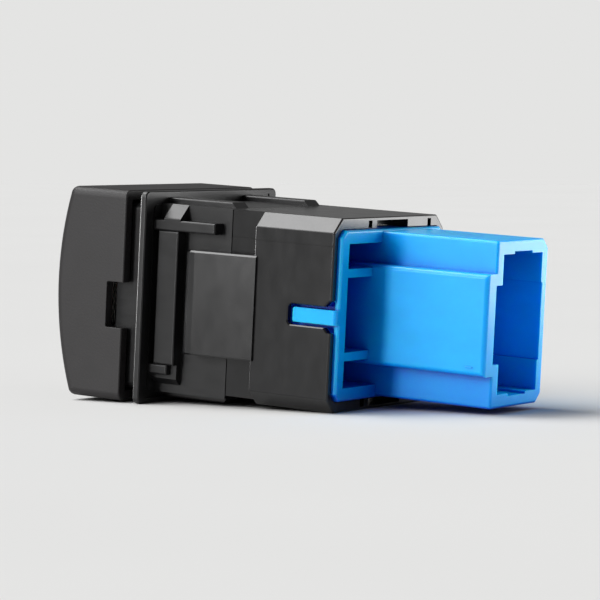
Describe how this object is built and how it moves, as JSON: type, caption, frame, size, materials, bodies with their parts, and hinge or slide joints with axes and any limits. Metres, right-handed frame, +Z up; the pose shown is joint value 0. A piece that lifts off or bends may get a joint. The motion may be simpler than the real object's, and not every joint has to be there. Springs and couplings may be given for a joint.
{
  "type": "pushbutton switch",
  "caption": "Snap-in panel pushbutton switch: matt black sprung push cap, flanged black housing with side snap arms, and a blue rear cover with a rectangular connector socket.",
  "frame": {"origin": "centre of the flange's rear face, which seats on the panel", "axes": "+X along the push, from the cap to the connector; +Z up as the switch lies on its side; -Y the side seen in the picture"},
  "size_m": [0.0501, 0.025, 0.023],
  "materials": {
    "black_moulding": "satin moulded",
    "cap_moulding": "fine matt texture",
    "blue_moulding": "soft gloss, slightly translucent",
    "white_moulding": "natural acetal",
    "clear_moulding": "clear moulded",
    "tinned_brass": "tin plated",
    "spring_steel": "bright drawn wire",
    "leaf_bronze": "rolled phosphor bronze",
    "contact_silver": "silver rivet",
    "green_board": "solder-resist laminate",
    "black_chip": "moulded chip"
  },
  "bodies": {
    "body": {"front_housing": "black_moulding", "rear_housing": "black_moulding", "connector_cover": "blue_moulding", "circuit_board": "green_board", "indicator_led": "clear_moulding", "light_guide": "clear_moulding", "series_resistor": "black_chip", "protection_diode": "black_chip", "fixed_contact_1": "contact_silver", "fixed_contact_2": "contact_silver", "terminal_1": "tinned_brass", "terminal_2": "tinned_brass", "terminal_3": "tinned_brass", "terminal_4": "tinned_brass", "terminal_5": "tinned_brass"},
    "button": {"button_cap": "cap_moulding", "indicator_lens": "clear_moulding", "plunger": "white_moulding", "return_spring": "spring_steel", "contact_leaf": "leaf_bronze", "moving_contact_1": "contact_silver", "moving_contact_2": "contact_silver"}
  },
  "joints": [
    {"name": "press", "type": "slide", "parent": "body", "child": "button", "axis": [1, 0, 0], "range_m": [0, 0.0019], "stiffness_N_per_m": 700, "springref_m": -0.003, "deforming": ["return_spring"]}
  ]
}
